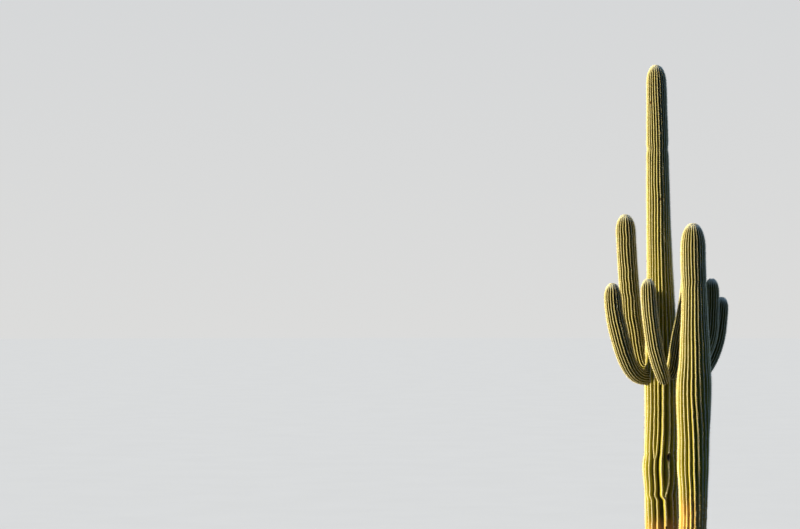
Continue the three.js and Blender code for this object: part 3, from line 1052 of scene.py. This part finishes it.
def areoles_on(name, chance):
    """Places of one limb's areoles, the way out and the way up at each, and their distance from the tip."""
    limb, layout = LIMBS[name], LAYOUTS[name]
    to_tip = limb["length"] - limb["run"]
    spacing = AREOLE_STEP_AT_TIP + (AREOLE_STEP - AREOLE_STEP_AT_TIP) * soft_step(to_tip / STEP_WIDENS_OVER)
    found = []
    for rib, lean in enumerate(layout["leans"]):
        crest = rib * len(ACROSS_A_RIB) + CREST
        line, scarred = SKINS[name][0][:, crest], SKINS[name][2][:, crest]
        run = lengths_along(line)
        counted = np.concatenate([[0], np.cumsum(np.diff(run) / spacing[1:])])
        number = np.arange(chance.uniform(0, 1), counted[-1], 1.0)
        number = number + chance.uniform(-UNEVEN_STEP, UNEVEN_STEP, len(number))
        up = unit(np.gradient(line, run, axis=0))
        out = unit(line - limb["middles"])
        out = unit(out - up * (out * up).sum(axis=1, keepdims=True))
        rib_width = 2 * layout["half_widths"][rib] * limb["radii"]
        columns = [to_tip, limb["radii"], lean, scarred, cork_share(name, limb["run"]), rib_width]
        columns = np.column_stack([line, out, up, *columns])
        found.append(np.column_stack([np.interp(number, counted, values) for values in columns.T]))
    found = np.vstack(found)
    from_tip, radius, lean, scarred, cork, rib_width = found[:, 9:].T
    kept = (lean > LEAST_LEAN) & (scarred < MOST_SCARRED) & (radius > LEAST_RADIUS)
    kept &= (found[:, 2] > LOWEST_AREOLE) & (chance.uniform(0, 1, len(found)) > cork * LOST_ON_CORK)
    kept[kept] = ~buried(name, found[kept, :3])
    return {
        "place": found[kept, 0:3], "out": unit(found[kept, 3:6]), "up": unit(found[kept, 6:9]),
        "to_tip": from_tip[kept], "rib_width": rib_width[kept],
    }


AREOLES = {name: areoles_on(name, np.random.default_rng(AREOLE_SEED + n)) for n, name in enumerate(LIMBS)}
print("areoles:", {name: len(areoles["place"]) for name, areoles in AREOLES.items()})

# %% [markdown]
# ## Shades of spine
# Fresh spines near a tip are golden and white. They weather to straw, and low on a stem to grey. The
# colour follows the age of the growth, so each areole as a whole is dealt one shade, by chance and by
# how far it is from the tip. Each shade is one plain finish, which costs nothing and stays crisp.

# %% Shades
SPINE_SHADES = {
    "white": linear(240, 243, 252),
    "golden": linear(202, 172, 96),
    "straw": linear(228, 212, 156),
    "brown": linear(150, 122, 74),
    "grey": linear(208, 200, 170),
}
# The share of each shade at the tip, just below it, in the middle and low down
SHADE_SHARES = {
    "white": (0.90, 0.26, 0.24, 0.16),
    "golden": (0.06, 0.22, 0.12, 0.04),
    "straw": (0.04, 0.32, 0.46, 0.34),
    "brown": (0.00, 0.20, 0.10, 0.12),
    "grey": (0.00, 0.00, 0.08, 0.34),
}
SHARES_AT = (0.05, 0.13, 0.9, 5.5)  # metres below the tip
SPINE_ROUGHNESS = 0.5
PLAIN_SHINE = 0.4


def plain_finish(name, colour, roughness):
    finish, _, shader = new_finish(name)
    shader.inputs["Base Color"].default_value = colour
    shader.inputs["Roughness"].default_value = roughness
    shader.inputs["Specular IOR Level"].default_value = PLAIN_SHINE
    finish.diffuse_color = colour
    return finish


def deal_shades(to_tip, chance):
    """A shade for each areole, by its distance from the tip."""
    shares = np.array([np.interp(to_tip, SHARES_AT, SHADE_SHARES[shade]) for shade in SPINE_SHADES])
    drawn = chance.uniform(0, 1, len(to_tip)) * shares.sum(axis=0)
    return (np.cumsum(shares, axis=0) < drawn).sum(axis=0)


SPINE_FINISHES = {}
for shade, colour in SPINE_SHADES.items():
    SPINE_FINISHES[shade] = plain_finish(shade + "_spines", colour, SPINE_ROUGHNESS)
print("spine shades:", list(SPINE_FINISHES))

# %% [markdown]
# ## The shape of one spine
# A spine is a long thin cone. Round cones would cost four times as much as open pyramids of three faces
# and look the same, and there are nearly two hundred thousand spines. Real ones are a millimetre or so
# thick. These are twice that, so that they still show. The same helper makes the felt cushions later.

# %% Open pyramids
SPINE_SIDES = 3


def open_pyramids(sides, feet, first, second, tips):
    """Pyramids without a base, each on an oval foot whose half axes are first and second."""
    turns = (np.arange(sides) * 2 * math.pi / sides)[None, :, None]
    ring = feet[:, None] + first[:, None] * np.cos(turns) + second[:, None] * np.sin(turns)
    points = np.concatenate([ring, tips[:, None]], axis=1)
    side = np.arange(sides)
    faces = np.column_stack([side, (side + 1) % sides, np.full(sides, sides)])
    starts = np.arange(len(feet))[:, None, None] * (sides + 1)
    return points.reshape(-1, 3), (starts + faces).reshape(-1, 3)


one_spine = open_pyramids(SPINE_SIDES, *np.zeros((4, 1, 3)))
print("a spine has", len(one_spine[0]), "points and", len(one_spine[1]), "faces")

# %% [markdown]
# ## Sprays of spines
# Each areole carries a ring of thin spines that spread nearly flat over the rib, and a few stout ones
# that stand out, one of them turned downwards. Combing hair over the ribs could make them, but it would
# be hard to hold to this order. So each spine gets a turn round the way out and a lean away from it, both
# a little uneven, and all of them are worked out at once.

# %% Sprays
RING_SPINES = 7
CENTRAL_SPINES = 3
RING_LEAN = (math.radians(48), math.radians(76))  # away from straight out
CENTRAL_LEAN = (math.radians(8), math.radians(42))
CENTRAL_TURN = math.radians(60)  # from straight up to the first one
RING_LENGTH = (0.011, 0.018)
CENTRAL_LENGTH = (0.020, 0.034)
RING_THICKNESS = 0.0020
CENTRAL_THICKNESS = 0.0028
UNEVEN_TURN = 0.35  # of the turn from one spine to the next
FULL_RIB_WIDTH = 0.062  # spines are shorter where the ribs are narrower
SHORTEST = 0.5  # of the full length
LEAST_HEIGHT = 0.004  # of a spine's tip over the ground


def rib_share(rib_width):
    """How long spines are on a rib this wide, as a part of their full length."""
    return np.clip(rib_width / FULL_RIB_WIDTH, SHORTEST, 1)[:, None]


def spray(areoles, count, leans, lengths, thickness, first_turn, chance):
    """So many spines on each areole, fanned round the way out."""
    size = (len(areoles["place"]), count)
    unevenly = np.arange(count) + chance.uniform(-UNEVEN_TURN, UNEVEN_TURN, size)
    turn = first_turn + 2 * math.pi * unevenly / count
    lean, length = chance.uniform(*leans, size), chance.uniform(*lengths, size)
    length = length * rib_share(areoles["rib_width"])
    out, up = areoles["out"], areoles["up"]
    side = np.cross(up, out)
    flat = up[:, None] * np.cos(turn)[..., None] + side[:, None] * np.sin(turn)[..., None]
    way = (out[:, None] * np.cos(lean)[..., None] + flat * np.sin(lean)[..., None]).reshape(-1, 3)
    feet = np.repeat(areoles["place"], count, axis=0)
    tips = feet + way * length.reshape(-1, 1)
    tips[:, 2] = np.maximum(tips[:, 2], LEAST_HEIGHT)
    first = unit(np.cross(way, np.repeat(side + 0.3 * up, count, axis=0)))  # any way across the spine
    second = np.cross(way, first)
    return open_pyramids(SPINE_SIDES, feet, first * thickness / 2, second * thickness / 2, tips)


print("spines on each areole:", RING_SPINES + CENTRAL_SPINES)

# %% [markdown]
# ## Spines in place
# All spines of one shade on one limb are joined into one piece. A piece for each spine would make the
# file too slow to open, and a piece for the whole plant would be too large to work on.

# %% Make the spines
SPINE_SEED = 400


def make_spines(name, chance):
    """One piece for each shade on a limb. Returns how many faces they have."""
    areoles = AREOLES[name]
    dealt = deal_shades(areoles["to_tip"], chance)
    faces_made = 0
    for number, (shade, finish) in enumerate(SPINE_FINISHES.items()):
        chosen = {part: values[dealt == number] for part, values in areoles.items()}
        if not len(chosen["place"]):
            continue
        ring = spray(chosen, RING_SPINES, RING_LEAN, RING_LENGTH, RING_THICKNESS, 0, chance)
        central = spray(
            chosen, CENTRAL_SPINES, CENTRAL_LEAN, CENTRAL_LENGTH, CENTRAL_THICKNESS, CENTRAL_TURN, chance
        )
        points = np.vstack([ring[0], central[0]])
        faces = np.vstack([ring[1], central[1] + len(ring[0])])
        piece_name = f"{name}_{shade}_spines"
        make_piece(piece_name, mesh_from(piece_name, points, triangles=faces), finish, False)
        faces_made += len(faces)
    return faces_made


spine_faces = 0
for number, name in enumerate(LIMBS):
    spine_faces += make_spines(name, np.random.default_rng(SPINE_SEED + number))
print("spine faces:", spine_faces)

# %% [markdown]
# ## Felt cushions
# The areole itself is a small oval cushion of felt, as long as a fingernail, raised nearly a centimetre
# over the crest. Up close it is what gives the crests their beaded look. Six faces are enough for one.

# %% Felt cushions
CUSHION_LENGTH = 0.018
CUSHION_WIDTH = 0.014
CUSHION_HEIGHT = 0.009
CUSHION_SINK = 0.002
CUSHION_SIDES = 6
CUSHION_LENGTHS = (0.8, 1.2)  # of the length above
FRESH_FELT_REACH = 0.7  # below the tip
FELT_ROUGHNESS = 0.95
CUSHION_SEED = 500

fresh_felt = plain_finish("fresh_felt", linear(212, 204, 184), FELT_ROUGHNESS)
old_felt = plain_finish("old_felt", linear(226, 219, 202), FELT_ROUGHNESS)


def make_cushions(name, chance):
    areoles = AREOLES[name]
    fresh = chance.uniform(0, FRESH_FELT_REACH, len(areoles["to_tip"])) > areoles["to_tip"]
    faces_made = 0
    for felt, chosen in ((fresh_felt, fresh), (old_felt, ~fresh)):
        place, out, up = (areoles[part][chosen] for part in ("place", "out", "up"))
        if not len(place):
            continue
        length = CUSHION_LENGTH / 2 * chance.uniform(*CUSHION_LENGTHS, (len(place), 1))
        width = CUSHION_WIDTH / 2 * rib_share(areoles["rib_width"][chosen])
        side = np.cross(up, out)
        feet, tops = place - out * CUSHION_SINK, place + out * CUSHION_HEIGHT
        points, faces = open_pyramids(CUSHION_SIDES, feet, up * length, -side * width, tops)
        piece_name = f"{name}_{felt.name}"
        make_piece(piece_name, mesh_from(piece_name, points, triangles=faces), felt, True)
        faces_made += len(faces)
    return faces_made


cushion_faces = 0
for number, name in enumerate(LIMBS):
    cushion_faces += make_cushions(name, np.random.default_rng(CUSHION_SEED + number))
print("cushion faces:", cushion_faces)
